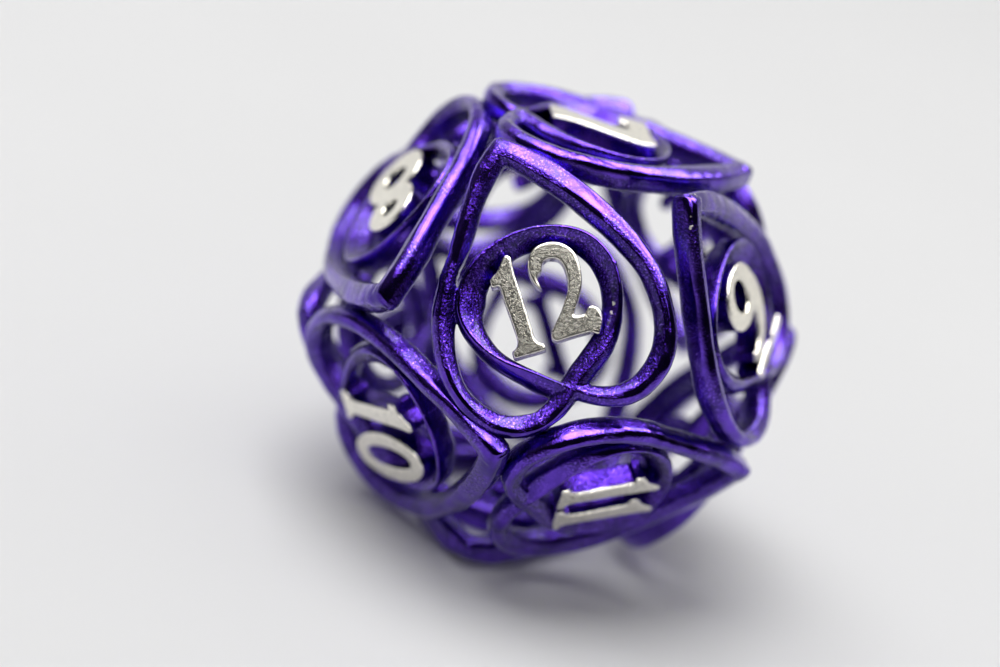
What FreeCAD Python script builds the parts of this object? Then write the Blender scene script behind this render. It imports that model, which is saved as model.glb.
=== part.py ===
import FreeCAD, Part
import math
import os

from FreeCAD import Vector, Placement, Matrix

# Openwork twelve-sided die. Each flat face of a regular dodecahedron carries a
# heart-shaped band. Inside it a ring, joined to the heart at the notch between
# its lobes, surrounds the face's number, with open air between the parts.
# Frame: origin at the die's centre, +Z up through the 7, -Z through the 6 that
# it rests on, and the 12 leaning towards -Y.

doc = FreeCAD.newDocument("polyhedral_die")

# ---------------------------------------------------------------- dimensions
# alias, value in mm, note
DIMENSIONS = [
    ("inradius", 10.0, "centre to each face (20 mm across opposite faces)"),
    ("band_depth", 1.3, "thickness of the bands, measured in from the face"),
    ("outer_bevel", 0.22, "drop of the heart's outer edge"),
    ("inner_bevel", 0.40, "drop of the heart's inner slope"),
    ("outer_land", 0.28, "from the heart's outline in to its flat top"),
    ("inner_land", 0.42, "from the heart's opening out to its flat top"),
    ("dish_depth", 0.75, "drop of the number ring's inner dish"),
    ("dish_width", 0.62, "from the ring's opening out to its rim"),
    ("rim_edge", 0.10, "bevel at the ring's outside, across"),
    ("rim_drop", 0.12, "bevel at the ring's outside, down"),
    ("numeral_depth", 1.3, "thickness of the numerals"),
    ("single_height", 5.3, "height of one-digit numbers"),
    ("double_height", 5.0, "height of the 10 and the 11"),
    ("twelve_height", 4.55, "height of the 12"),
    ("digit_gap", 0.45, "gap between two digits"),
]
sheet = doc.addObject("Spreadsheet::Sheet", "Sheet")
for row, (alias, value, note) in enumerate(DIMENSIONS, start=1):
    sheet.set("A%d" % row, alias)
    sheet.set("B%d" % row, str(value))
    sheet.set("C%d" % row, note)
    sheet.setAlias("B%d" % row, alias)
doc.recompute()


def dim(alias):
    return float(sheet.get(alias))


INRADIUS = dim("inradius")
OVAL_STEP = 18  # degrees between the points of an oval
NEIGHBOUR_COSINE = 0.4  # normals of touching faces have a cosine of 0.447
CRUMB_VOLUME = 0.05  # mm3, a loose solid smaller than this is dropped
NO_CHANGE = 1e-6  # mm3, a cut that removes less than this has missed

# ------------------------------------------------------ outlines of one face
# Points (x, y) in the face's own plane, as shares of the inradius: x to the
# right and y towards the heart's point, seen from outside.
HEART_OUTER = [
    (-.003, .743), (.030, .720), (.086, .678), (.192, .593), (.303, .445),
    (.402, .269), (.473, .108), (.510, -.042), (.509, -.205), (.482, -.341),
    (.417, -.451), (.323, -.521), (.203, -.551), (.094, -.533), (.022, -.494),
    (-.018, -.481), (-.069, -.503), (-.177, -.545), (-.257, -.559),
    (-.367, -.537), (-.449, -.477), (-.516, -.377), (-.560, -.239),
    (-.569, -.105), (-.543, .045), (-.452, .211), (-.346, .363),
    (-.228, .543), (-.134, .660), (-.065, .715), (-.029, .742),
]
HEART_INNER = [
    (-.013, .624), (.028, .592), (.127, .453), (.265, .255), (.351, .106),
    (.394, -.003), (.410, -.139), (.392, -.248), (.348, -.345), (.267, -.413),
    (.186, -.440), (.070, -.429), (-.010, -.414), (-.080, -.422),
    (-.179, -.446), (-.259, -.453), (-.370, -.405), (-.442, -.307),
    (-.469, -.202), (-.457, -.081), (-.419, .010), (-.374, .117),
    (-.305, .253), (-.225, .393), (-.146, .504), (-.053, .613),
]
RING_OUTER = [
    (-.088, -.474), (-.019, -.453), (.037, -.418), (.145, -.357),
    (.236, -.265), (.299, -.141), (.323, -.015), (.320, .056), (.300, .144),
    (.240, .239), (.130, .303), (-.006, .327), (-.142, .315), (-.263, .269),
    (-.349, .197), (-.402, .111), (-.427, .020), (-.412, -.080),
    (-.360, -.196), (-.273, -.303), (-.190, -.376),
]
RING_INNER = [
    (-.051, -.338), (.037, -.273), (.141, -.199), (.193, -.118),
    (.213, -.017), (.206, .073), (.173, .143), (.097, .196), (-.004, .217),
    (-.103, .204), (-.202, .157), (-.263, .083), (-.287, -.003),
    (-.277, -.098), (-.239, -.193), (-.163, -.278), (-.102, -.329),
]

# How each number is slanted, stretched and moved on its face. A point (x, y)
# about the number's middle goes to (xx x + xy y, yx x + yy y), then moves by
# (shift x, shift y) in shares of the inradius. Columns: xx, xy, yx, yy, shifts.
NUMBER_SKEWS = {
    12: (.972, -.036, .002, .983, -.024, .009),
    11: (.892, -.072, .016, .966, .038, .004),
    10: (.960, -.070, -.055, .960, .030, -.040),
    9: (1.120, -.121, .054, .929, .050, -.022),
    8: (1.140, -.028, -.150, 1.070, .020, -.080),
    7: (.958, -.024, -.005, .967, -.095, -.026),
}
COMMON_SKEW = (.98, -.03, .0, .98, .006, -.017)

# ------------------------------------------------------------ digit outlines
# Serif figures of height 1 standing on y = 0, made of three kinds of shape:
#   loop: (x, y) points joined by a smooth curve; a third entry, 1, is a corner
#   stroke: (x, y, half width) stations along its middle
#   oval: centre x, centre y, half width, half height
ONE = ("loop", [
    (0, .004, 1), (.318, 0, 1), (.318, .062, 1), (.268, .092), (.250, .145, 1),
    (.262, .43), (.271, .73), (.284, .91), (.290, .965), (.272, .995),
    (.238, .997), (.200, .958), (.148, .895), (.110, .860), (.066, .840),
    (.027, .815, 1), (.018, .735, 1), (.096, .735, 1), (.096, .43),
    (.092, .190), (.070, .125), (.036, .092), (0, .080, 1)])
TWO = ("loop", [
    (.062, .568, 1), (.024, .623), (.003, .700), (.003, .790), (.022, .855),
    (.048, .910), (.090, .962), (.150, .992), (.226, 1.0), (.300, .996),
    (.376, .968), (.437, .914), (.476, .845), (.494, .760), (.490, .670),
    (.467, .563), (.420, .458), (.360, .367), (.300, .292), (.268, .240, 1),
    (.330, .220), (.385, .222), (.418, .254), (.458, .277), (.500, .262),
    (.528, .222), (.536, .160), (.520, .100), (.488, .050), (.447, -.006, 1),
    (.376, .040, 1), (.120, .045), (.030, .045, 1), (.002, .085), (.024, .150),
    (.090, .232), (.166, .307), (.240, .398), (.292, .464), (.322, .533),
    (.340, .608), (.346, .700), (.337, .774), (.307, .820), (.256, .843),
    (.205, .846), (.157, .825), (.130, .790), (.112, .745, 1),
    (.066, .732, 1), (.050, .684), (.052, .630)])
THREE_TOP = ("stroke", [
    (.045, .770, .045), (.060, .860, .060), (.130, .930, .062),
    (.240, .945, .055), (.350, .890, .075), (.395, .765, .082),
    (.340, .640, .065), (.225, .570, .045)])
THREE_BOWL = ("stroke", [
    (.190, .560, .042), (.320, .550, .055), (.420, .455, .080),
    (.445, .300, .088), (.390, .150, .080), (.260, .058, .058),
    (.130, .075, .060), (.055, .160, .055), (.045, .240, .045)])
FOUR = ("loop", [
    (0, .215, 1), (0, .330, 1), (.300, 1.0, 1), (.440, 1.0, 1),
    (.440, .340, 1), (.560, .340, 1), (.560, .215, 1), (.440, .215, 1),
    (.440, .085, 1), (.500, .060, 1), (.500, 0, 1), (.220, 0, 1),
    (.220, .060, 1), (.285, .085, 1), (.285, .215, 1)])
FOUR_EYE = ("loop", [(.130, .340, 1), (.285, .340, 1), (.285, .700, 1)])
FIVE_FLAG = ("loop", [
    (.075, 1.0, 1), (.480, 1.0, 1), (.440, .855, 1),
    (.190, .855, 1), (.180, .560, 1), (.075, .500, 1)])
FIVE_BOWL = ("stroke", [
    (.095, .520, .040), (.190, .600, .050), (.320, .590, .066),
    (.420, .470, .085), (.440, .310, .090), (.390, .150, .080),
    (.260, .058, .058), (.130, .070, .060), (.055, .150, .055),
    (.045, .230, .045)])
SEVEN = ("loop", [
    (.008, .735, 1), (.000, .860), (.020, 1.0, 1), (.190, .992),
    (.450, .970), (.630, .985), (.715, .945), (.735, .830), (.700, .700),
    (.640, .560), (.550, .380), (.492, .180), (.505, .012, 1),
    (.140, .030, 1), (.165, .195), (.260, .410), (.355, .610),
    (.400, .770, 1), (.200, .785, 1), (.165, .705, 1)])
NINE_TAIL = ("stroke", [
    (.455, .720, .075), (.478, .560, .082), (.455, .390, .085),
    (.385, .220, .078), (.270, .100, .062), (.130, .060, .050),
    (.040, .100, .040)])
UNDERLINE = ("stroke", [
    (-.02, -.105, .045), (.13, -.100, .050), (.30, -.130, .050),
    (.46, -.165, .048), (.60, -.165, .040)])

# digit: (width, solid shapes, eyes cut from them)
GLYPHS = {
    "0": (.52, [("oval", .26, .5, .26, .5)], [("oval", .26, .5, .115, .33)]),
    "1": (.318, [ONE], []),
    "2": (.536, [TWO], []),
    "3": (.53, [THREE_TOP, THREE_BOWL], []),
    "4": (.56, [FOUR], [FOUR_EYE]),
    "5": (.53, [FIVE_FLAG, FIVE_BOWL], []),
    "7": (.735, [SEVEN], []),
    "8": (.58, [("oval", .285, .740, .235, .260), ("oval", .29, .285, .29, .285)],
          [("oval", .295, .745, .085, .095), ("oval", .29, .290, .120, .125)]),
    "9": (.56, [("oval", .275, .690, .275, .310), NINE_TAIL],
          [("oval", .270, .700, .120, .185)]),
}


def turned(shape, width):
    """The shape given half a turn about its digit's middle."""
    if shape[0] == "oval":
        kind, x, y, half_width, half_height = shape
        return (kind, width - x, 1 - y, half_width, half_height)
    kind, points = shape
    return (kind, [(width - p[0], 1 - p[1]) + tuple(p[2:]) for p in points])


# The 6 is the 9 turned upside down.
nine_width, nine_solids, nine_eyes = GLYPHS["9"]
GLYPHS["6"] = (nine_width,
               [turned(shape, nine_width) for shape in nine_solids],
               [turned(shape, nine_width) for shape in nine_eyes])


# -------------------------------------------------------------------- curves
def on_face(points):
    return [Vector(x * INRADIUS, y * INRADIUS, 0) for x, y in points]


def offset_loop(points, distance):
    """The loop's points moved along its own normals, inwards if positive."""
    count = len(points)
    area = sum(points[i].x * points[(i + 1) % count].y
               - points[(i + 1) % count].x * points[i].y for i in range(count))
    inward = distance if area > 0 else -distance
    moved = []
    for i in range(count):
        along = points[(i + 1) % count] - points[i - 1]
        along.normalize()
        moved.append(points[i] + Vector(-along.y, along.x, 0) * inward)
    return moved


def closed_curve(points):
    curve = Part.BSplineCurve()
    curve.interpolate(Points=points, PeriodicFlag=True)
    return curve


def open_curve(points):
    if len(points) == 2:
        return Part.LineSegment(points[0], points[1])
    curve = Part.BSplineCurve()
    curve.interpolate(Points=points)
    return curve


def cornered_curves(points, place):
    """Curves from corner to corner round a closed loop."""
    corners = [i for i, p in enumerate(points) if len(p) > 2 and p[2]]
    curves = []
    for k, first in enumerate(corners):
        last = corners[(k + 1) % len(corners)]
        if last <= first:
            last += len(points)
        run = [points[i % len(points)] for i in range(first, last + 1)]
        curves.append(open_curve([place(p[0], p[1]) for p in run]))
    return curves


def stroke_loop(stations):
    """The closed outline round a stroke, with corners at its two ends."""
    left, right = [], []
    final = len(stations) - 1
    for i, (x, y, half_width) in enumerate(stations):
        before = stations[max(i - 1, 0)]
        after = stations[min(i + 1, final)]
        along = Vector(after[0] - before[0], after[1] - before[1], 0)
        along.normalize()
        side = Vector(-along.y, along.x, 0) * half_width
        corner = int(i in (0, final))
        left.append((x + side.x, y + side.y, corner))
        right.append((x - side.x, y - side.y, corner))
    return left + right[::-1]


def shape_curves(shape, place):
    """Curves of one digit shape, where place(x, y) gives the face point."""
    if shape[0] == "oval":
        _, x, y, half_width, half_height = shape
        angles = [math.radians(a) for a in range(0, 360, OVAL_STEP)]
        return [closed_curve([place(x + half_width * math.cos(a),
                                    y + half_height * math.sin(a))
                              for a in angles])]
    kind, points = shape
    return cornered_curves(points if kind == "loop" else stroke_loop(points), place)


# --------------------------------------------------------- where faces stand
# Azimuth and rise, in degrees, of each face's outward direction.
RISE = math.degrees(math.asin(1 / math.sqrt(5)))
FACES = {
    7: (0, 90), 6: (0, -90),
    12: (-90, RISE), 9: (-18, RISE), 3: (54, RISE), 2: (126, RISE),
    8: (198, RISE),
    11: (-54, -RISE), 5: (18, -RISE), 1: (90, -RISE), 4: (162, -RISE),
    10: (234, -RISE),
}
# Each heart points at the corner that its face shares with these two faces.
HEART_CORNERS = {
    12: (7, 8), 9: (7, 12), 7: (3, 9), 11: (5, 9), 10: (11, 12), 8: (10, 12),
    1: (5, 6), 2: (3, 7), 3: (1, 5), 4: (8, 10), 5: (3, 9), 6: (10, 11),
}


def normal(face):
    azimuth, rise = (math.radians(a) for a in FACES[face])
    return Vector(math.cos(rise) * math.cos(azimuth),
                  math.cos(rise) * math.sin(azimuth), math.sin(rise))


def face_placement(face):
    """Takes the XY plane to the face, with +Y towards the heart's point."""
    out = normal(face)
    first, second = HEART_CORNERS[face]
    corner = out + normal(first) + normal(second)
    up = corner - out * corner.dot(out)
    up.normalize()
    right = up.cross(out)
    axes = Matrix(right.x, up.x, out.x, 0, right.y, up.y, out.y, 0,
                  right.z, up.z, out.z, 0, 0, 0, 0, 1)
    return Placement(out * INRADIUS, Placement(axes).Rotation)


def stand_on_face(body, face):
    """Places the body on a face that follows the sheet's inradius."""
    body.Placement = face_placement(face)
    out = normal(face)
    for axis in ("x", "y", "z"):
        body.setExpression("Placement.Base.%s" % axis,
                           "%.12f * Sheet.inradius" % getattr(out, axis))


# ------------------------------------------------------------------ builders
def make_sketch(body, name, curves, drop=None):
    """A sketch on the body's XY plane, or below it by the cell named in drop."""
    sketch = body.newObject("Sketcher::SketchObject", name)
    plane = next(f for f in body.Origin.OriginFeatures if f.Role == "XY_Plane")
    sketch.AttachmentSupport = (plane, [""])
    sketch.MapMode = "FlatFace"
    for curve in curves:
        sketch.addGeometry(curve, False)
    if drop:
        sketch.setExpression("AttachmentOffset.Base.z", "-(%s)" % drop)
    return sketch


def bevelled_loft(body, kind, name, sketch_name, top, edge, bevel):
    """A ruled loft: a bevel from top to edge, then a straight wall."""
    sketches = [
        make_sketch(body, sketch_name + "_top", [closed_curve(top)]),
        make_sketch(body, sketch_name + "_edge", [closed_curve(edge)], bevel),
        make_sketch(body, sketch_name + "_base", [closed_curve(edge)],
                    "Sheet.band_depth"),
    ]
    doc.recompute()
    feature = body.newObject(kind, name)
    feature.Profile = sketches[0]
    feature.Sections = sketches[1:]
    feature.Ruled = True


def master_band(name, outer, outer_width, outer_drop, inner, inner_width, inner_drop):
    """A closed band; widths and drops, named by alias, give its two bevels."""
    outer, inner = on_face(outer), on_face(inner)
    body = doc.addObject("PartDesign::Body", name)
    bevelled_loft(body, "PartDesign::AdditiveLoft", name + "_solid",
                  name + "_outline", offset_loop(outer, dim(outer_width)),
                  outer, "Sheet." + outer_drop)
    bevelled_loft(body, "PartDesign::SubtractiveLoft", name + "_hole",
                  name + "_opening", offset_loop(inner, -dim(inner_width)),
                  inner, "Sheet." + inner_drop)
    doc.recompute()
    return body


def linked(master, name, face):
    link = doc.addObject("App::Link", name)
    link.LinkedObject = master
    link.Placement = face_placement(face)
    return link


def cut_from(base, tools, name):
    """base with each tool cut away in turn; the last cut takes the name."""
    shape = base
    for step, tool in enumerate(tools, start=1):
        cut_name = name if step == len(tools) else "%s_step_%d" % (name, step)
        cut = doc.addObject("Part::Cut", cut_name)
        cut.Base = shape
        cut.Tool = tool
        shape = cut
    return shape


# -------------------------------------------------------------------- bands
heart_master = master_band(
    "heart_master",
    outer=HEART_OUTER, outer_width="outer_land", outer_drop="outer_bevel",
    inner=HEART_INNER, inner_width="inner_land", inner_drop="inner_bevel")
ring_master = master_band(
    "ring_master",
    outer=RING_OUTER, outer_width="rim_edge", outer_drop="rim_drop",
    inner=RING_INNER, inner_width="dish_width", inner_drop="dish_depth")
hearts = {f: linked(heart_master, "heart_link_%02d" % f, f) for f in FACES}
rings = {f: linked(ring_master, "ring_link_%02d" % f, f) for f in FACES}
doc.recompute()


# ------------------------------------------------------------------ numerals
def cut_eye(body, name, sketch):
    before = body.Shape.Volume
    eye = body.newObject("PartDesign::Pocket", name)
    eye.Profile = sketch
    eye.setExpression("Length", "Sheet.numeral_depth")
    doc.recompute()
    # Guards against a pocket that runs outwards, away from the digit.
    if body.Shape.Volume > before - NO_CHANGE:
        eye.Reversed = True
        doc.recompute()
    if body.Shape.Volume > before - NO_CHANGE:
        raise RuntimeError("%s cut nothing" % name)


def glyph_body(name, face, solids, eyes, height, left):
    """Shapes padded inwards from the face, less their eyes."""
    body = doc.addObject("PartDesign::Body", name)
    xx, xy, yx, yy, shift_x, shift_y = NUMBER_SKEWS.get(face, COMMON_SKEW)

    def place(x, y):
        across = left + x * height
        up = (y - 0.5) * height
        return Vector(xx * across + xy * up + shift_x * INRADIUS,
                      yx * across + yy * up + shift_y * INRADIUS, 0)

    for k, shape in enumerate(solids):
        sketch = make_sketch(body, "%s_outline_%d" % (name, k),
                             shape_curves(shape, place))
        doc.recompute()
        pad = body.newObject("PartDesign::Pad", "%s_pad_%d" % (name, k))
        pad.Profile = sketch
        pad.Reversed = True
        pad.setExpression("Length", "Sheet.numeral_depth")
        doc.recompute()
    for k, shape in enumerate(eyes):
        sketch = make_sketch(body, "%s_eye_%d" % (name, k),
                             shape_curves(shape, place))
        doc.recompute()
        cut_eye(body, "%s_pocket_%d" % (name, k), sketch)
    stand_on_face(body, face)
    return body


def number_bodies(face):
    """The face's digits side by side; the 6 and the 9 are underlined."""
    text = str(face)
    height = dim("single_height" if face < 10 else
                 "twelve_height" if face == 12 else "double_height")
    widths = [GLYPHS[digit][0] * height for digit in text]
    start = -(sum(widths) + dim("digit_gap") * (len(text) - 1)) / 2
    left = start
    suffixes = ("",) if len(text) == 1 else ("_tens", "_units")
    bodies = []
    for digit, suffix, width in zip(text, suffixes, widths):
        _, solids, eyes = GLYPHS[digit]
        bodies.append(glyph_body("numeral_%02d%s" % (face, suffix), face,
                                 solids, eyes, height, left))
        left += width + dim("digit_gap")
    if face in (6, 9):
        bodies.append(glyph_body("underline_%02d" % face, face,
                                 [UNDERLINE], [], height, start))
    return bodies


numerals = {face: number_bodies(face) for face in FACES}
doc.recompute()


# -------------------------------------------------------------------- pieces
def heart_piece(face):
    """The face's heart, giving way to touching hearts of higher number."""
    name = "heart_%02d" % face
    tools = [hearts[f] for f in FACES
             if f > face and normal(f).dot(normal(face)) > NEIGHBOUR_COSINE]
    if tools:
        return cut_from(hearts[face], tools, name)
    # The 12 gives way to none, so its heart is a plain copy.
    whole = doc.addObject("Part::Compound", name)
    whole.Links = [hearts[face]]
    return whole


def without_crumbs(piece):
    """The piece, or a copy of its main solid if its cuts left loose crumbs
    where two bevels cross. The copy takes over the piece's label."""
    solids = sorted(piece.Shape.Solids, key=lambda solid: -solid.Volume)
    if all(solid.Volume >= CRUMB_VOLUME for solid in solids):
        return piece
    trimmed = doc.addObject("Part::Feature", piece.Name + "_trimmed")
    trimmed.Shape = solids[0]
    piece.Label = piece.Name + "_with_crumbs"
    trimmed.Label = piece.Name
    return trimmed


pieces = []
for face in FACES:
    pieces.append(heart_piece(face))
    pieces.append(cut_from(rings[face], [hearts[face]] + numerals[face],
                           "ring_%02d" % face))
    pieces.extend(numerals[face])
doc.recompute()

# ------------------------------------------------------------ check and write
for obj in doc.Objects:
    bad = [state for state in obj.State if state in ("Invalid", "Error")]
    if bad:
        raise RuntimeError("%s is %s" % (obj.Name, bad))
os.makedirs("parts", exist_ok=True)
for piece in pieces:
    final_piece = without_crumbs(piece)
    shape = final_piece.Shape
    if shape.isNull() or not shape.isValid() or not shape.Solids:
        raise RuntimeError("%s has no valid solid" % final_piece.Label)
    shape.exportStep("parts/%s.step" % final_piece.Label)
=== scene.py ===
# A twelve-sided metal die, centred on the origin and lying on its 6 with the 7 on top.
# Each face is an open heart-shaped band in purple plating around bare silver numerals.
# The 12 faces the camera, towards -y.
import math

import bpy
import numpy as np
from mathutils import Matrix, Vector


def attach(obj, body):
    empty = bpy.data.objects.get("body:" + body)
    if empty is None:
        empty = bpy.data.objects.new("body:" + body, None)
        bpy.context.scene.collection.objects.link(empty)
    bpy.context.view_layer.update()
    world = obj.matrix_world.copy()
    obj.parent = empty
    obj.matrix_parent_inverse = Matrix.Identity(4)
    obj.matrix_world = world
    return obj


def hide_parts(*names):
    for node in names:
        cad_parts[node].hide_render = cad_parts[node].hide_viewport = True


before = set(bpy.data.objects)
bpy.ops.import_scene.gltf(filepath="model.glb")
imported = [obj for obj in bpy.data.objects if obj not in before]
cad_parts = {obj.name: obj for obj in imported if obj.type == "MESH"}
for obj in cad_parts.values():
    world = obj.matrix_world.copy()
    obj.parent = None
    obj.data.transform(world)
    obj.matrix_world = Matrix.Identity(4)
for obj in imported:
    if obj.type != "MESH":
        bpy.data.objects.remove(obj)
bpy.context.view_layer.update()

# ------------------------------------------------------------------ the die
# A regular dodecahedron, 20 mm across opposite faces. Lengths are millimetres
# in a face's own axes: x right, y towards the heart's point, z outwards with
# 0 on the face plane. The scene is in metres.
MM_PER_M = 1000
INRADIUS = 10.0
DEPTH = 1.30                    # how deep bands and numerals reach
BLUNT_RADIUS = 12.38            # sphere that blunts the die's corners
EXTRA_BLUNT = {4: 0.25, 6: 0.25}  # faces whose sphere is smaller by this much
BAND_STEP = 0.06
DIGIT_STEP = 0.045
RISE = math.degrees(math.asin(1 / math.sqrt(5)))
# Where each face looks: degrees around from +x, degrees above the horizon.
FACES = {7: (0, 90), 6: (0, -90), 12: (-90, RISE), 9: (-18, RISE),
         3: (54, RISE), 2: (126, RISE), 8: (198, RISE), 11: (-54, -RISE),
         5: (18, -RISE), 1: (90, -RISE), 4: (162, -RISE), 10: (234, -RISE)}
# The two faces that meet a face at the corner its heart points to.
HEART_CORNER = {12: (7, 8), 9: (7, 12), 7: (3, 9), 11: (5, 9), 10: (11, 12),
                8: (10, 12), 1: (5, 6), 2: (3, 7), 3: (1, 5), 4: (8, 10),
                5: (3, 9), 6: (10, 11)}
# A little knob left by an air bubble in the mould: face, x, y in inradius
# shares, z and radius in mm.
BEADS = [(12, .312, .060, -.10, .12)]
# Places where the plating is chipped to bare metal, columns as for BEADS.
CHIPS = [(9, .073, .722, -.10, .15), (9, .101, .600, -.25, .17),
         (9, .085, .640, -.20, .12), (9, -.057, .696, -.15, .12),
         (9, -.084, .655, -.25, .10), (9, .344, .305, -.20, .09),
         (8, .065, .548, -.15, .17), (8, .035, .570, -.20, .10),
         (10, -.470, -.179, -.15, .09), (12, .225, -.135, -.10, .17),
         (12, .252, -.105, -.12, .12), (11, -.106, .135, -.20, .10),
         (7, -.487, .366, -.10, .10)]
# Each heart was drawn by hand and sits a little off the ideal: shift right and
# up as shares of the inradius, turn in radians, scale.
HEART_PLAIN = (0, 0, 0, 1)
HEART_DRAW = {9: (.036, 0, -.010, .989), 7: (.016, -.031, -.011, .986),
              8: (.028, .008, .016, 1.015), 10: (.023, -.004, .023, 1.018),
              11: (.001, -.008, -.002, .943)}


def face_normal(face):
    azimuth, rise = (math.radians(angle) for angle in FACES[face])
    return np.array([math.cos(rise) * math.cos(azimuth),
                     math.cos(rise) * math.sin(azimuth), math.sin(rise)])


def face_axes(face):
    """A face's right, up and outward unit vectors in the scene."""
    out = face_normal(face)
    first, second = HEART_CORNER[face]
    corner = out + face_normal(first) + face_normal(second)
    up = corner - out * (corner @ out)
    up /= np.linalg.norm(up)
    return np.cross(up, out), up, out


def drawn(face, x, y):
    """Where a point of the plain heart lies on a face as it was drawn."""
    shift_x, shift_y, turn, scale = HEART_DRAW.get(face, HEART_PLAIN)
    cos, sin = math.cos(turn) * scale, math.sin(turn) * scale
    return (cos * x - sin * y + shift_x * INRADIUS,
            sin * x + cos * y + shift_y * INRADIUS)


# ------------------------------------------------------- curves and fields
def spline(points, count):
    """Natural cubic spline through the rows of points, count rows out."""
    rows = np.array(points, float)
    total = len(rows)
    knots = np.r_[0, np.cumsum(np.linalg.norm(np.diff(rows[:, :2], axis=0), axis=1)
                               ** 0.5 + 1e-6)]
    gaps = np.diff(knots)
    system = np.zeros((total, total))
    target = np.zeros((total, rows.shape[1]))
    system[0, 0] = system[-1, -1] = 1
    for i in range(1, total - 1):
        system[i, i - 1] = gaps[i - 1]
        system[i, i] = 2 * (gaps[i - 1] + gaps[i])
        system[i, i + 1] = gaps[i]
        target[i] = 3 * ((rows[i + 1] - rows[i]) / gaps[i]
                         - (rows[i] - rows[i - 1]) / gaps[i - 1])
    square = np.linalg.solve(system, target)
    where = np.linspace(0, knots[-1], count)
    k = np.clip(np.searchsorted(knots, where) - 1, 0, total - 2)
    past = (where - knots[k])[:, None]
    gap = gaps[k][:, None]
    cube = (square[k + 1] - square[k]) / (3 * gap)
    slope = (rows[k + 1] - rows[k]) / gap - gap * (2 * square[k] + square[k + 1]) / 3
    return rows[k] + slope * past + square[k] * past ** 2 + cube * past ** 3


def tangents(points):
    along = np.gradient(points, axis=0)
    return along / np.linalg.norm(along, axis=1)[:, None]


def smax(a, b, blend):
    """Maximum of two fields with the crease rounded over the blend width."""
    return np.maximum(a, b) + np.maximum(blend - np.abs(a - b), 0) ** 2 / (4 * blend)


def smin(a, b, blend):
    return np.minimum(a, b) - np.maximum(blend - np.abs(a - b), 0) ** 2 / (4 * blend)


def waviness(face, x, y, z, amount, wavelength, seed):
    """Small smooth unevenness of a casting, fixed for each face."""
    random = np.random.RandomState(seed * 100 + face)
    total = 0
    for _ in range(7):
        wave = random.normal(size=3)
        wave *= (2 * math.pi / (wavelength * (0.7 + 0.8 * random.rand()))
                 / np.linalg.norm(wave))
        total = total + np.sin(x * wave[0] + y * wave[1] + z * wave[2]
                               + random.rand() * 6.283)
    return total * (amount / 2.6)


def depth_grid(step):
    return np.arange(-DEPTH - 3 * step, 3.2 * step, step)


# ------------------------------------------------------------------ meshing
def sample3(field, points):
    """Trilinear values of the grid at the grid positions points."""
    cell = np.clip(np.floor(points).astype(int), 0, np.array(field.shape) - 2)
    x, y, z = cell.T
    tx, ty, tz = (points - cell).T

    def along_x(dy, dz):
        return field[x, y + dy, z + dz] * (1 - tx) + field[x + 1, y + dy, z + dz] * tx

    return (along_x(0, 0) * (1 - ty) * (1 - tz) + along_x(1, 0) * ty * (1 - tz)
            + along_x(0, 1) * (1 - ty) * tz + along_x(1, 1) * ty * tz)


def gradient3(field, points):
    reach = 0.35
    slope = np.empty_like(points)
    for axis in range(3):
        shift = np.zeros(3)
        shift[axis] = reach
        slope[:, axis] = (sample3(field, points + shift)
                          - sample3(field, points - shift)) / (2 * reach)
    return slope


def surface(field):
    """Closed quad surface of field = 0 by surface nets: grid positions, quads."""
    inside = field < 0
    nx, ny, nz = field.shape
    corners = np.zeros((nx - 1, ny - 1, nz - 1), np.int8)
    for dx, dy, dz in np.ndindex(2, 2, 2):
        corners += inside[dx:nx - 1 + dx, dy:ny - 1 + dy, dz:nz - 1 + dz]
    active = (corners > 0) & (corners < 8)
    cells = np.argwhere(active)
    ids = np.full(active.shape, -1, np.int64)
    ids[active] = np.arange(len(cells))

    # one vertex per cell, at the mean of its edges' crossings
    total = np.zeros((len(cells), 3))
    count = np.zeros(len(cells))
    for axis in range(3):
        others = [k for k in range(3) if k != axis]
        for pair in np.ndindex(2, 2):
            start = np.zeros(3, int)
            start[others] = pair
            end = start.copy()
            end[axis] = 1
            value0 = field[tuple((cells + start).T)]
            value1 = field[tuple((cells + end).T)]
            hit = (value0 < 0) != (value1 < 0)
            crossing = np.tile(start.astype(float), (len(cells), 1))
            crossing[:, axis] += np.where(
                hit, value0 / np.where(hit, value0 - value1, 1), 0)
            total += crossing * hit[:, None]
            count += hit
    verts = cells + total / count[:, None]

    # one quad per crossed grid edge, joining the four cells around it
    quads = []
    for axis in range(3):
        others = [k for k in range(3) if k != axis]
        here = [slice(1, -1)] * 3
        ahead = [slice(1, -1)] * 3
        here[axis], ahead[axis] = slice(0, -1), slice(1, None)
        first, second = inside[tuple(here)], inside[tuple(ahead)]
        edges = np.argwhere(first != second)
        leaving = first[tuple(edges.T)]
        around = []
        for pair in ((0, 0), (1, 0), (1, 1), (0, 1)):
            cell = edges.copy()
            cell[:, others] += pair
            around.append(ids[tuple(cell.T)])
        quad = np.stack(around, 1)
        turn = leaving == (axis == 1)
        quad[turn] = quad[turn][:, ::-1]
        quads.append(quad)
    return verts, np.concatenate(quads)


def settle(verts, field):
    """Moves the vertices onto field = 0."""
    for _ in range(2):
        slope = gradient3(field, verts)
        steepness = np.maximum(np.sum(slope * slope, 1), 1e-6)
        step = (sample3(field, verts) / steepness)[:, None] * slope
        size = np.linalg.norm(step, axis=1)[:, None]
        verts = verts - step * np.minimum(1, 0.4 / np.maximum(size, 1e-9))
    return verts


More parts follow.
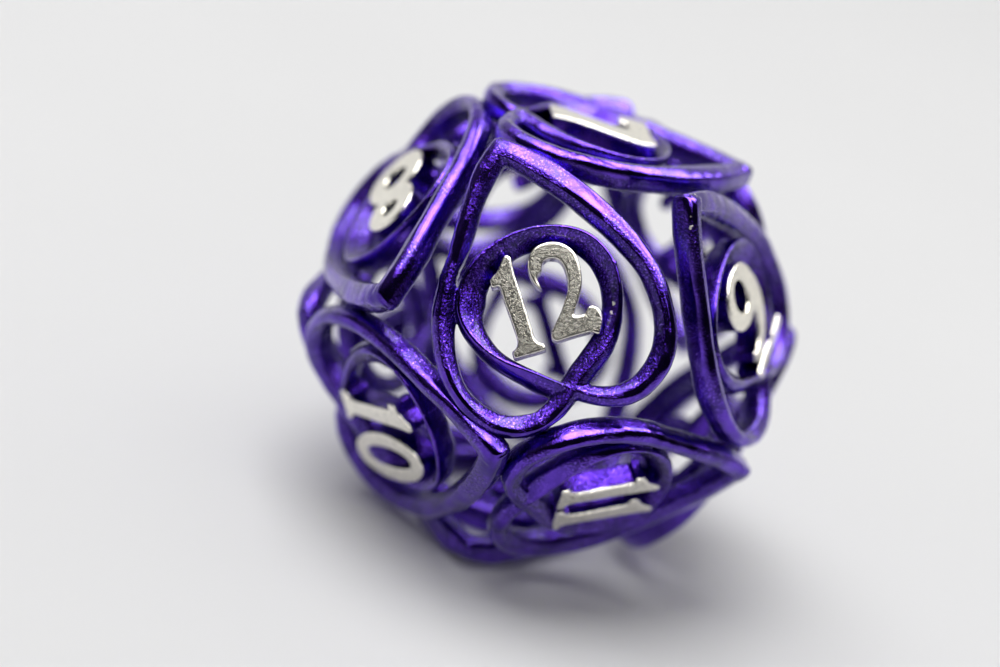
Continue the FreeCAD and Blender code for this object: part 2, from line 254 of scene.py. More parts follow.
def relax(verts, quads, field, rounds):
    """Evens the quads out along the surface and puts them back onto it."""
    count = len(verts)
    start, end = np.concatenate([quads[:, [0, 1]], quads[:, [1, 2]],
                                 quads[:, [2, 3]], quads[:, [3, 0]]]).T
    degree = np.bincount(start, minlength=count) + np.bincount(end, minlength=count)
    for _ in range(rounds):
        total = np.zeros((count, 3))
        for k in range(3):
            total[:, k] = (np.bincount(start, weights=verts[end, k], minlength=count)
                           + np.bincount(end, weights=verts[start, k], minlength=count))
        slope = gradient3(field, verts)
        slope /= np.maximum(np.linalg.norm(slope, axis=1)[:, None], 1e-6)
        move = total / degree[:, None] - verts
        move -= slope * np.sum(move * slope, 1)[:, None]
        verts = settle(verts + 0.6 * move, field)
    return verts


def add_object(name, data):
    obj = bpy.data.objects.new(name, data)
    bpy.context.scene.collection.objects.link(obj)
    return obj


def make_piece(name, face, field, origin, step, nodes, across=None):
    """A mesh object from a distance grid in a face's own axes. A band also
    gives its grid of positions across the ribbon, and is moved as drawn."""
    verts, quads = surface(field)
    verts = relax(settle(verts, field), quads, field, 2)
    slope = gradient3(field, verts)
    local = origin + verts * step
    if across is not None:
        local[:, 0], local[:, 1] = drawn(face, local[:, 0], local[:, 1])
        turn = HEART_DRAW.get(face, HEART_PLAIN)[2]
        cos, sin = math.cos(turn), math.sin(turn)
        slope[:, 0], slope[:, 1] = (slope[:, 0] * cos - slope[:, 1] * sin,
                                    slope[:, 0] * sin + slope[:, 1] * cos)
    right, up, out = face_axes(face)
    axes = np.array([right, up, out])
    world = (out * INRADIUS + local @ axes) / MM_PER_M
    normals = slope @ axes
    normals /= np.maximum(np.linalg.norm(normals, axis=1)[:, None], 1e-9)

    mesh = bpy.data.meshes.new(name)
    mesh.vertices.add(len(world))
    mesh.vertices.foreach_set("co", world.astype(np.float32).ravel())
    mesh.loops.add(len(quads) * 4)
    mesh.loops.foreach_set("vertex_index", quads.ravel().astype(np.int32))
    mesh.polygons.add(len(quads))
    mesh.polygons.foreach_set("loop_start",
                              np.arange(0, len(quads) * 4, 4, dtype=np.int32))
    mesh.polygons.foreach_set("use_smooth", np.ones(len(quads), bool))
    mesh.update(calc_edges=True)
    mesh.validate()
    mesh.normals_split_custom_set_from_vertices(normals.tolist())

    attributes = {}
    if across is not None:
        flat = np.stack([verts[:, 0], verts[:, 1], np.zeros(len(verts))], 1)
        attributes["across"] = sample3(np.repeat(across[:, :, None], 2, 2), flat)
    attributes["level"] = local[:, 2]
    for key, values in attributes.items():
        mesh.attributes.new(key, "FLOAT", "POINT").data.foreach_set(
            "value", values.astype(np.float32))

    obj = add_object(name, mesh)
    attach(obj, "root")
    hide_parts(*nodes)
    return obj


# ------------------------------------------------------ the band as ribbons
# Each row is a station along a ribbon: outer edge x, y and inner edge x, y as
# shares of the inradius, where the ridge lies between them (0 outer, 1 inner),
# the half width of the ridge's flat, the drop to the outer edge and the drop
# to the inner edge, in mm.
RIGHT = [
    (-.039, -.458, .014, -.377, .50, .06, .40, .40),
    (.022, -.498, .060, -.411, .46, .07, .36, .40),
    (.097, -.532, .120, -.434, .44, .09, .34, .40),
    (.203, -.551, .188, -.442, .44, .10, .34, .42),
    (.323, -.519, .269, -.416, .44, .10, .34, .42),
    (.417, -.449, .346, -.348, .44, .10, .34, .42),
    (.482, -.341, .392, -.248, .44, .10, .34, .42),
    (.507, -.205, .408, -.133, .44, .10, .34, .42),
    (.510, -.042, .394, -.008, .44, .10, .34, .42),
    (.473, .108, .361, .081, .48, .10, .34, .42),
    (.402, .269, .298, .201, .54, .10, .32, .42),
    (.303, .437, .205, .346, .60, .10, .30, .42),
    (.192, .585, .109, .477, .64, .11, .26, .42),
    (.091, .684, .018, .582, .64, .12, .22, .40),
    (.015, .745, -.053, .646, .60, .14, .18, .38),
]
LEFT = [
    (-.045, .744, .027, .648, .50, .18, .18, .36),
    (-.124, .674, -.042, .591, .50, .17, .22, .38),
    (-.228, .543, -.144, .480, .48, .14, .28, .40),
    (-.346, .363, -.262, .310, .46, .11, .32, .42),
    (-.452, .211, -.362, .147, .44, .10, .34, .42),
    (-.535, .046, -.423, .010, .44, .10, .34, .42),
    (-.565, -.105, -.456, -.091, .44, .10, .34, .42),
    (-.557, -.239, -.464, -.222, .44, .10, .34, .42),
    (-.516, -.374, -.431, -.327, .44, .10, .34, .42),
    (-.449, -.474, -.375, -.400, .40, .10, .34, .36),
    (-.367, -.534, -.311, -.441, .34, .10, .36, .24),
    (-.257, -.558, -.234, -.454, .30, .10, .38, .20),
    (-.177, -.545, -.169, -.441, .32, .10, .38, .24),
    (-.069, -.500, -.102, -.392, .38, .10, .34, .34),
    (.037, -.425, -.034, -.327, .45, .10, .36, .42),
    (.144, -.354, .074, -.250, .42, .09, .40, .45),
    (.236, -.262, .153, -.181, .34, .07, .40, .55),
    (.299, -.141, .199, -.102, .22, .05, .30, .70),
    (.325, -.015, .211, -.007, .13, .04, .20, .80),
    (.320, .086, .202, .071, .10, .04, .16, .82),
    (.283, .183, .170, .139, .10, .04, .15, .82),
    (.215, .256, .117, .188, .10, .04, .15, .82),
    (.106, .308, .051, .213, .10, .04, .15, .82),
    (-.006, .328, -.014, .218, .10, .04, .15, .82),
    (-.136, .317, -.099, .206, .10, .04, .15, .82),
    (-.263, .269, -.193, .165, .10, .04, .15, .82),
    (-.349, .197, -.251, .106, .10, .04, .16, .82),
]
# The tail carries on from LEFT and starts on two of its stations.
TAIL = LEFT[-3:-1] + [
    (-.349, .197, -.251, .106, .11, .04, .18, .80),
    (-.404, .111, -.282, .033, .14, .04, .24, .74),
    (-.427, .020, -.288, -.038, .22, .04, .34, .66),
    (-.412, -.080, -.279, -.106, .36, .04, .48, .52),
    (-.360, -.196, -.247, -.185, .58, .04, .62, .36),
    (-.277, -.296, -.185, -.256, .78, .04, .72, .20),
    (-.190, -.378, -.120, -.315, .86, .04, .74, .14),
    (-.109, -.440, -.049, -.375, .86, .04, .74, .14),
    (-.059, -.469, .000, -.407, .86, .04, .74, .14),
]
RIBBON_SAMPLES = 700
CHUNK = 6000                    # points searched at a time, to bound memory

BAND_X = np.arange(-6.25, 6.25, BAND_STEP)
BAND_Y = np.arange(-6.35, 7.95, BAND_STEP)
BAND_Z = depth_grid(BAND_STEP)
GRID_X, GRID_Y, GRID_Z = BAND_X[:, None, None], BAND_Y[None, :, None], BAND_Z[None, None, :]


def ribbon_stations(rows):
    """Ridge points, tangents and sides, then the widths from the ridge to the
    outer and inner edges, the flat's half width and the two drops."""
    rows = np.array(rows, float)
    rows[:, :4] *= INRADIUS
    dense = spline(rows, RIBBON_SAMPLES)
    outer, inner = dense[:, 0:2], dense[:, 2:4]
    ridge = outer + dense[:, 4:5] * (inner - outer)
    tangent = tangents(ridge)
    side = np.stack([-tangent[:, 1], tangent[:, 0]], 1)
    if np.mean(np.sum((outer - ridge) * side, 1)) < 0:
        side = -side
    outer_width = np.sum((outer - ridge) * side, 1)
    inner_width = np.sum((ridge - inner) * side, 1)
    return (ridge, tangent, side, outer_width, inner_width,
            dense[:, 5], dense[:, 6], dense[:, 7])


def ribbon_fields(rows, start_reach, end_reach):
    """Fields on the face plane: the distance past the ribbon's sides, the
    height of its upper surface, and where a point lies across it (-1 inner
    edge, 0 ridge, 1 outer edge). The reaches run past the end stations."""
    (ridge, tangent, side, outer_width, inner_width,
     flat_half, outer_fall, inner_fall) = ribbon_stations(rows)
    grid_x, grid_y = np.meshgrid(BAND_X, BAND_Y, indexing="ij")
    points = np.stack([grid_x.ravel(), grid_y.ravel()], 1)
    near = np.empty(len(points), int)
    for i in range(0, len(points), CHUNK):
        part = points[i:i + CHUNK]
        squared = ((part[:, None, 0] - ridge[None, :, 0]) ** 2
                   + (part[:, None, 1] - ridge[None, :, 1]) ** 2)
        near[i:i + CHUNK] = squared.argmin(1)
    offset = points - ridge[near]
    aside = np.sum(offset * side[near], 1)
    along = np.sum(offset * tangent[near], 1)
    cap = np.full(len(points), -9.0)
    first, last = near == 0, near == len(ridge) - 1
    cap[first] = -along[first] - start_reach
    cap[last] = along[last] - end_reach
    to_outer, to_inner = outer_width[near], inner_width[near]
    distance = np.maximum(np.maximum(aside - to_outer, -aside - to_inner), cap)

    flat = flat_half[near]
    past_flat = np.maximum(np.abs(aside) - flat, 0)
    slope_width = np.where(aside > 0, to_outer, to_inner) - flat
    share = past_flat / np.maximum(slope_width, 0.02)
    clipped = np.clip(share, 0, 1.35)
    outer_drop = outer_fall[near] * (0.55 * clipped + 0.45 * clipped ** 2)
    inner_drop = inner_fall[near] * (0.80 * clipped + 0.20 * clipped ** 2)
    top = -np.where(aside > 0, outer_drop, inner_drop)
    across = np.where(aside > 0, share, -share)
    return [values.reshape(grid_x.shape) for values in (distance, top, across)]


def ribbon_body(rows, start_reach, end_reach):
    distance, top, across = ribbon_fields(rows, start_reach, end_reach)
    slope_x, slope_y = np.gradient(top, BAND_STEP)
    steep = np.sqrt(1 + np.minimum(slope_x ** 2 + slope_y ** 2, 4))
    # the walls draw in a little with depth
    walls = distance[:, :, None] + 0.07 * np.maximum(-GRID_Z, 0)
    body = smax(walls, (GRID_Z - top[:, :, None]) / steep[:, :, None], 0.16)
    body = smax(body, -DEPTH - GRID_Z, 0.5)
    return body, distance, across


def plain_heart():
    """The distance grid of the ideal band and its across grid."""
    right, right_distance, right_across = ribbon_body(RIGHT, 0.10, 0.35)
    left, left_distance, left_across = ribbon_body(LEFT, 0.35, -0.2)
    tail, tail_distance, tail_across = ribbon_body(TAIL, -0.2, 0.10)
    whole = smin(smin(right, left, 0.10), tail, 0.10)
    nearest = np.stack([right_distance, left_distance, tail_distance]).argmin(0)
    across = np.take_along_axis(np.stack([right_across, left_across, tail_across]),
                                nearest[None], 0)[0]
    return whole, across


def band_piece(face, whole, across):
    right, up, out = face_axes(face)
    drawn_x, drawn_y = drawn(face, GRID_X, GRID_Y)
    field = whole
    # the neighbouring face planes end the metal at the die's edges
    for other in FACES:
        facing = face_normal(other)
        if other != face and facing @ out > 0.4:
            plane = ((facing @ out) * (INRADIUS + GRID_Z) + (facing @ right) * drawn_x
                     + (facing @ up) * drawn_y) - INRADIUS
            field = smax(field, plane, 0.26)
    # the corners of the die are blunt
    from_centre = np.sqrt(drawn_x ** 2 + drawn_y ** 2 + (INRADIUS + GRID_Z) ** 2)
    field = smax(field, from_centre - (BLUNT_RADIUS - EXTRA_BLUNT.get(face, 0)), 0.45)
    for where, x, y, z, radius in BEADS:
        if where == face:
            field = smin(field, np.sqrt((GRID_X - x * INRADIUS) ** 2
                                        + (GRID_Y - y * INRADIUS) ** 2
                                        + (GRID_Z - z) ** 2) - radius, 0.08)
    field = field + waviness(face, GRID_X, GRID_Y, GRID_Z,
                             amount=0.020, wavelength=3.2, seed=1)
    field = field + waviness(face, GRID_X, GRID_Y, GRID_Z,
                             amount=0.008, wavelength=0.9, seed=2)
    # tumbling keeps the tops flat, whatever the casting's unevenness
    field = smax(field, GRID_Z, 0.04)
    return make_piece("bands_%02d" % face, face, field,
                      np.array([BAND_X[0], BAND_Y[0], BAND_Z[0]]), BAND_STEP,
                      ["heart_%02d" % face, "ring_%02d" % face], across)


heart, heart_across = plain_heart()
band_pieces = [band_piece(face, heart, heart_across) for face in FACES]

# ----------------------------------------------------------------- numerals
# Shapes are in shares of the digit's height, from its lower left:
# "loop" is a closed outline of x, y, with a third 1 at a corner,
# "stroke" a centre line of x, y, half width,
# "oval" a centre x, y and radii x, y.
ONE = ("loop", [
    (0, .004, 1), (.318, 0, 1), (.318, .062, 1), (.268, .092), (.250, .145, 1),
    (.262, .43), (.271, .73), (.284, .91), (.290, .965), (.272, .995),
    (.238, .997), (.200, .958), (.148, .895), (.110, .860), (.066, .840),
    (.027, .815, 1), (.018, .735, 1), (.096, .735, 1), (.096, .43),
    (.092, .190), (.070, .125), (.036, .092), (0, .080, 1)])
TWO = ("loop", [
    (.062, .568, 1), (.024, .623), (.003, .700), (.003, .790), (.022, .855),
    (.048, .910), (.090, .962), (.150, .992), (.226, 1.0), (.300, .996),
    (.376, .968), (.437, .914), (.476, .845), (.494, .760), (.490, .670),
    (.467, .563), (.420, .458), (.360, .367), (.300, .292), (.268, .240, 1),
    (.330, .220), (.385, .222), (.418, .254), (.458, .277), (.500, .262),
    (.528, .222), (.536, .160), (.520, .100), (.488, .050), (.447, -.006, 1),
    (.376, .040, 1), (.120, .045), (.030, .045, 1), (.002, .085), (.024, .150),
    (.090, .232), (.166, .307), (.240, .398), (.292, .464), (.322, .533),
    (.340, .608), (.346, .700), (.337, .774), (.307, .820), (.256, .843),
    (.205, .846), (.157, .825), (.130, .790), (.112, .745, 1),
    (.066, .732, 1), (.050, .684), (.052, .630)])
SEVEN = ("loop", [
    (.008, .735, 1), (.000, .860), (.020, 1.0, 1), (.190, .992),
    (.450, .970), (.630, .985), (.715, .945), (.735, .830), (.700, .700),
    (.640, .560), (.550, .380), (.492, .180), (.505, .012, 1),
    (.140, .030, 1), (.165, .195), (.260, .410), (.355, .610),
    (.400, .770, 1), (.200, .785, 1), (.165, .705, 1)])
FOUR = ("loop", [
    (0, .215, 1), (0, .330, 1), (.300, 1.0, 1), (.440, 1.0, 1),
    (.440, .340, 1), (.560, .340, 1), (.560, .215, 1), (.440, .215, 1),
    (.440, .085, 1), (.500, .060, 1), (.500, 0, 1), (.220, 0, 1),
    (.220, .060, 1), (.285, .085, 1), (.285, .215, 1)])
FOUR_EYE = ("loop", [(.130, .340, 1), (.285, .340, 1), (.285, .700, 1)])
UNDERLINE = ("stroke", [(-.02, -.105, .045), (.13, -.100, .050),
                        (.30, -.130, .050), (.46, -.165, .048),
                        (.60, -.165, .040)])
# Character: width, shapes added, shapes cut out. "_" is the underline.
GLYPHS = {
    "_": (0, [UNDERLINE], []),
    "0": (.52, [("oval", .26, .5, .26, .5)], [("oval", .26, .5, .115, .33)]),
    "1": (.318, [ONE], []),
    "2": (.536, [TWO], []),
    "3": (.53, [
        ("stroke", [(.045, .770, .045), (.060, .860, .060), (.130, .930, .062),
                    (.240, .945, .055), (.350, .890, .075), (.395, .765, .082),
                    (.340, .640, .065), (.225, .570, .045)]),
        ("stroke", [(.190, .560, .042), (.320, .550, .055), (.420, .455, .080),
                    (.445, .300, .088), (.390, .150, .080), (.260, .058, .058),
                    (.130, .075, .060), (.055, .160, .055),
                    (.045, .240, .045)])], []),
    "4": (.56, [FOUR], [FOUR_EYE]),
    "5": (.53, [
        ("loop", [(.075, 1.0, 1), (.480, 1.0, 1), (.440, .855, 1),
                  (.190, .855, 1), (.180, .560, 1), (.075, .500, 1)]),
        ("stroke", [(.095, .520, .040), (.190, .600, .050), (.320, .590, .066),
                    (.420, .470, .085), (.440, .310, .090), (.390, .150, .080),
                    (.260, .058, .058), (.130, .070, .060),
                    (.055, .150, .055), (.045, .230, .045)])], []),
    "7": (.735, [SEVEN], []),
    "8": (.58, [("oval", .285, .740, .235, .260), ("oval", .29, .285, .29, .285)],
          [("oval", .295, .745, .085, .095), ("oval", .29, .290, .120, .125)]),
    "9": (.56, [("oval", .275, .690, .275, .310),
                ("stroke", [(.455, .720, .075), (.478, .560, .082),
                            (.455, .390, .085), (.385, .220, .078),
                            (.270, .100, .062), (.130, .060, .050),
                            (.040, .100, .040)])],
          [("oval", .270, .700, .120, .185)]),
}
# How a number was drawn, as a, b, c, d, middle x, y: a point x, y about its own
# middle goes to (a x + b y, c x + d y) and then to the middle, which is in
# inradius shares.
NUMBER_DRAW = {12: (.972, -.036, .002, .983, -.024, .009),
               11: (.892, -.072, .016, .966, .038, .004),
               10: (.981, -.070, -.055, 1.059, .111, -.107),
               9: (1.168, -.121, .054, .929, .062, -.022),
               8: (1.205, -.028, -.150, 1.070, .032, -.094),
               7: (.958, -.024, -.005, .967, -.111, -.026)}
NUMBER_PLAIN = (.98, -.03, .0, .98, .006, -.017)
# Digit heights for one digit, two digits and the 12, and the gap between digits.
SINGLE, DOUBLE, TWELVE, DIGIT_GAP = 5.3, 5.0, 4.55, 0.45


def turned(shape, width):
    """The shape turned half round within a glyph of this width."""
    if shape[0] == "oval":
        return ("oval", width - shape[1], 1 - shape[2], shape[3], shape[4])
    return (shape[0], [(width - p[0], 1 - p[1]) + tuple(p[2:]) for p in shape[1]])


def turned_glyph(width, added, cut):
    return (width, [turned(shape, width) for shape in added],
            [turned(shape, width) for shape in cut])


GLYPHS["6"] = turned_glyph(*GLYPHS["9"])


def oval_outline(x, y, radius_x, radius_y):
    angle = np.linspace(0, 2 * math.pi, 120, endpoint=False)
    return np.stack([x + radius_x * np.cos(angle), y + radius_y * np.sin(angle)], 1)


def stroke_outline(points):
    dense = spline(points, 90)
    along = tangents(dense[:, :2])
    side = np.stack([-along[:, 1], along[:, 0]], 1) * dense[:, 2:3]
    return np.r_[dense[:, :2] + side, (dense[:, :2] - side)[::-1]]


def loop_outline(points):
    """Straight between neighbouring corners, a spline where points lie between."""
    corners = [i for i, point in enumerate(points) if len(point) > 2]
    parts = []
    for k, i in enumerate(corners):
        j = corners[(k + 1) % len(corners)]
        if j <= i:
            j += len(points)
        run = [points[m % len(points)][:2] for m in range(i, j + 1)]
        parts.append(np.array(run[:-1], float) if len(run) == 2
                     else spline(run, 10 * len(run))[:-1])
    return np.concatenate(parts)


OUTLINES = {"oval": oval_outline, "stroke": stroke_outline, "loop": loop_outline}


def polygon_distance(polygon, grid_x, grid_y):
    """Signed distance to a closed polygon, negative inside."""
    x, y = grid_x.ravel(), grid_y.ravel()
    best = np.full(len(x), 1e9)
    inside = np.zeros(len(x), bool)
    for (ax, ay), (bx, by) in zip(polygon, np.roll(polygon, -1, axis=0)):
        dx, dy = bx - ax, by - ay
        squared = dx * dx + dy * dy
        if squared < 1e-14:
            continue
        px, py = x - ax, y - ay
        share = np.clip((px * dx + py * dy) / squared, 0, 1)
        best = np.minimum(best, (px - share * dx) ** 2 + (py - share * dy) ** 2)
        if dy != 0:
            level_with = (ay > y) != (by > y)
            inside ^= level_with & (x < dx * (y - ay) / dy + ax)
    distance = np.sqrt(best)
    return np.where(inside, -distance, distance).reshape(grid_x.shape)


def blur2(field, times):
    for _ in range(times):
        wide = np.pad(field, 1, mode="edge")
        field = (wide[:-2, 1:-1] + wide[2:, 1:-1] + wide[1:-1, :-2] + wide[1:-1, 2:]
                 + 4 * wide[1:-1, 1:-1]) / 8
    return field


def digit_piece(name, face, char, height, left, base):
    _, added, cut = GLYPHS[char]
    a, b, c, d, middle_x, middle_y = NUMBER_DRAW.get(face, NUMBER_PLAIN)
    lean = np.array([[a, c], [b, d]])

    def placed(shape):
        outline = OUTLINES[shape[0]](*shape[1:])
        return ((outline * height + np.array([left, base])) @ lean
                + np.array([middle_x * INRADIUS, middle_y * INRADIUS]))

    added = [placed(shape) for shape in added]
    low = np.min([polygon.min(0) for polygon in added], 0) - 4 * DIGIT_STEP
    high = np.max([polygon.max(0) for polygon in added], 0) + 4 * DIGIT_STEP
    x = np.arange(low[0], high[0], DIGIT_STEP)
    y = np.arange(low[1], high[1], DIGIT_STEP)
    z = depth_grid(DIGIT_STEP)
    grid_x, grid_y = np.meshgrid(x, y, indexing="ij")
    grid_z = z[None, None, :]
    flat = np.min([polygon_distance(polygon, grid_x, grid_y) for polygon in added], 0)
    for shape in cut:
        flat = np.maximum(flat, -polygon_distance(placed(shape), grid_x, grid_y))
    flat = blur2(flat, 3)
    field = flat[:, :, None] + waviness(face, grid_x[:, :, None], grid_y[:, :, None],
                                        grid_z, amount=0.009, wavelength=0.9, seed=3)
    # the outline grows by 0.02 mm before its upper rim is rounded
    field = smax(field - 0.02, grid_z, 0.10)
    field = smax(field, -DEPTH - grid_z, 0.25)
    return make_piece(name, face, field, np.array([x[0], y[0], z[0]]), DIGIT_STEP,
                      [name])


def number_pieces(face):
    text = str(face)
    height = SINGLE if face < 10 else TWELVE if face == 12 else DOUBLE
    widths = [GLYPHS[char][0] * height for char in text]
    left = -(sum(widths) + DIGIT_GAP * (len(text) - 1)) / 2
    base = -height / 2
    pieces = []
    if face in (6, 9):
        pieces.append(digit_piece("underline_%02d" % face, face, "_", height, left, base))
    parts = ("",) if len(text) == 1 else ("_tens", "_units")
    for char, width, part in zip(text, widths, parts):
        pieces.append(digit_piece("numeral_%02d%s" % (face, part), face, char,
                                  height, left, base))
        left += width + DIGIT_GAP
    return pieces


digit_pieces = [piece for face in FACES for piece in number_pieces(face)]


# ---------------------------------------------------------------- materials
class Shader:
    """A few words for building the shader tree of a material or world."""

    def __init__(self, owner):
        owner.use_nodes = True
        self.tree = owner.node_tree
        self.tree.nodes.clear()

    def add(self, kind, **settings):
        node = self.tree.nodes.new(kind)
        for key, value in settings.items():
            setattr(node, key, value)
        return node

    def put(self, socket, value):
        """Links a socket's value, or sets a plain one."""
        if isinstance(value, bpy.types.NodeSocket):
            self.tree.links.new(value, socket)
        else:
            socket.default_value = value

    def math(self, operation, first, second):
        node = self.add("ShaderNodeMath", operation=operation)
        self.put(node.inputs[0], first)
        self.put(node.inputs[1], second)
        return node.outputs[0]

    def linear(self, value, gain, offset):
        return self.math("ADD", self.math("MULTIPLY", value, gain), offset)

    def centred(self, value, span):
        """A 0 to 1 value moved to lie evenly around 0, span wide."""
        return self.math("MULTIPLY", self.math("SUBTRACT", value, 0.5), span)

    def remap(self, value, lo, hi, to_lo=0.0, to_hi=1.0):
        node = self.add("ShaderNodeMapRange", interpolation_type="SMOOTHSTEP")
        for k, item in enumerate((value, lo, hi, to_lo, to_hi)):
            self.put(node.inputs[k], item)
        return node.outputs[0]

    def noise(self, vector, scale, detail=3.0, rough=0.55):
        node = self.add("ShaderNodeTexNoise")
        self.put(node.inputs["Vector"], vector)
        self.put(node.inputs["Scale"], scale)
        self.put(node.inputs["Detail"], detail)
        self.put(node.inputs["Roughness"], rough)
        return node.outputs["Fac"]

    def attribute(self, name):
        return self.add("ShaderNodeAttribute", attribute_type="GEOMETRY",
                        attribute_name=name).outputs["Fac"]

    def mix(self, share, first, second):
        """Blends two colours; a plain one is a tuple of red, green, blue."""
        node = self.add("ShaderNodeMix", data_type="RGBA")
        self.put(node.inputs[0], share)
        for k, colour in ((6, first), (7, second)):
            self.put(node.inputs[k],
                     colour + (1.0,) if isinstance(colour, tuple) else colour)
        return node.outputs[2]

    def vector_value(self, operation, vector, fixed):
        node = self.add("ShaderNodeVectorMath", operation=operation)
        self.put(node.inputs[0], vector)
        self.put(node.inputs[1], fixed)
        return node.outputs["Value"]

    def millimetres(self):
        place = self.add("ShaderNodeTexCoord").outputs["Object"]
        node = self.add("ShaderNodeVectorMath", operation="SCALE")
        self.put(node.inputs[0], place)
        self.put(node.inputs["Scale"], float(MM_PER_M))
        return node.outputs[0]

    def light_path(self, ray):
        return self.add("ShaderNodeLightPath").outputs[ray]

    def principled(self):
        bsdf = self.add("ShaderNodeBsdfPrincipled")
        out = self.add("ShaderNodeOutputMaterial")
        self.put(out.inputs[0], bsdf.outputs[0])
        return bsdf

    def metal(self, colour, rough, coat, height, strength, distance):
        """Polished metal; height, strength and distance (m) shape its bump."""
        bsdf = self.principled()
        self.put(bsdf.inputs["Base Color"], colour)
        self.put(bsdf.inputs["Roughness"], rough)
        self.put(bsdf.inputs["Metallic"], 1.0)
        self.put(bsdf.inputs["Coat Weight"], coat)
        self.put(bsdf.inputs["Coat Roughness"], 0.08)
        bump = self.add("ShaderNodeBump")
        self.put(bump.inputs["Distance"], distance)
        self.put(bump.inputs["Strength"], strength)
        self.put(bump.inputs["Height"], height)
        self.put(bsdf.inputs["Normal"], bump.outputs[0])


PURPLE = (0.098, 0.031, 0.46)
PURPLE_DEEP = (0.040, 0.011, 0.23)
# painted shade for the pits and painted glints for the crests of the rough skin
PIT_SHADE_PURPLE = (0.012, 0.004, 0.065)
CREST_GLINT_PURPLE = (0.36, 0.22, 0.95)
CHIP_METAL = (0.80, 0.77, 0.66)
SILVER = (0.86, 0.83, 0.75)
SILVER_DULL = (0.40, 0.39, 0.35)
BLACK = (0.0, 0.0, 0.0)
FLOOR_PALE = (0.80, 0.80, 0.805)


def purple_parts(tree, place, grain_and_painted_specks):
    """Colour, roughness and bump of the plated casting. The last argument, 0 to 1, says how
    rough the cast skin under the plating is, and how strongly its pits get painted shade
    and its crests painted glints."""
    cloud = tree.noise(place, scale=0.9, detail=2.0)
    fine = tree.noise(place, scale=8.0, detail=3.0, rough=0.65)
    colour = tree.mix(tree.remap(cloud, lo=0.35, hi=0.7), PURPLE, PURPLE_DEEP)
    # painted shade and glints on the rough skin: pits are painted dark, crests painted
    # bright as if they caught the light
    speck = tree.noise(place, scale=10.0, detail=2.0, rough=0.7)
    pit_shade = tree.remap(speck, lo=0.40, hi=0.60, to_lo=0.92, to_hi=0.0)
    colour = tree.mix(tree.math("MULTIPLY", pit_shade, grain_and_painted_specks), colour, PIT_SHADE_PURPLE)
    crest_glint = tree.remap(speck, lo=0.60, hi=0.70, to_lo=0.0, to_hi=0.75)
    colour = tree.mix(tree.math("MULTIPLY", crest_glint, grain_and_painted_specks), colour, CREST_GLINT_PURPLE)
    rough = tree.linear(grain_and_painted_specks, gain=0.07, offset=0.09)
    rough = tree.math("ADD", rough, tree.centred(fine, span=0.08))
    return colour, rough, fine


def chip_share(tree, place):
    """1 inside the chips in the plating, 0 outside, ragged at their rims."""
    near = 9.0
    for face, x, y, z, radius in CHIPS:
        right, up, out = face_axes(face)
        centre = out * (INRADIUS + z) + right * x * INRADIUS + up * y * INRADIUS
        away = tree.vector_value("DISTANCE", place, tuple(centre.tolist()))
        near = tree.math("MINIMUM", tree.math("SUBTRACT", away, radius), near)
    ragged = tree.centred(tree.noise(place, scale=4.5, detail=3.0), span=0.36)
    return tree.remap(tree.math("ADD", near, ragged),
                      lo=-0.015, hi=0.015, to_lo=1.0, to_hi=0.0)


def plated_material():
    material = bpy.data.materials.new("purple_plating")
    tree = Shader(material)
    place = tree.millimetres()
    across = tree.attribute("across")
    level = tree.attribute("level")
    # slopes towards the opening and the walls keep the cast skin; the tumbled ridge and the
    # outer slope are smooth, but for patches. Where the skin is rough it also gets painted
    # shade in its pits and painted glints on its crests, so the inner slopes and walls are
    # painted darker, with bright specks.
    wall_grain_and_specks, pit_height, chip_rough = 0.8, 0.6, 0.18
    inner = tree.remap(across, lo=-0.10, hi=0.02, to_lo=1.0, to_hi=0.0)
    wall = tree.remap(level, lo=-0.75, hi=-0.45, to_lo=1.0, to_hi=0.0)
    grain_and_painted_specks = tree.math("MAXIMUM", inner, tree.math("MULTIPLY", wall, wall_grain_and_specks))
    patch = tree.remap(tree.noise(place, scale=0.55, detail=2.0),
                       lo=0.42, hi=0.64, to_lo=0.10, to_hi=0.80)
    grain_and_painted_specks = tree.math("MAXIMUM", grain_and_painted_specks, patch)
    colour, rough, fine = purple_parts(tree, place, grain_and_painted_specks)
    pits = tree.noise(place, scale=13.0, detail=2.0, rough=0.6)
    height = tree.math("ADD", fine, tree.math("MULTIPLY", pits, pit_height))
    strength = tree.linear(grain_and_painted_specks, gain=0.80, offset=0.08)
    chip = chip_share(tree, place)
    colour = tree.mix(chip, colour, CHIP_METAL)
    rough = tree.math("ADD", rough, tree.math("MULTIPLY", chip, chip_rough))
    tree.metal(colour, rough, coat=0.35, height=height, strength=strength,
               distance=0.000045)
    return material


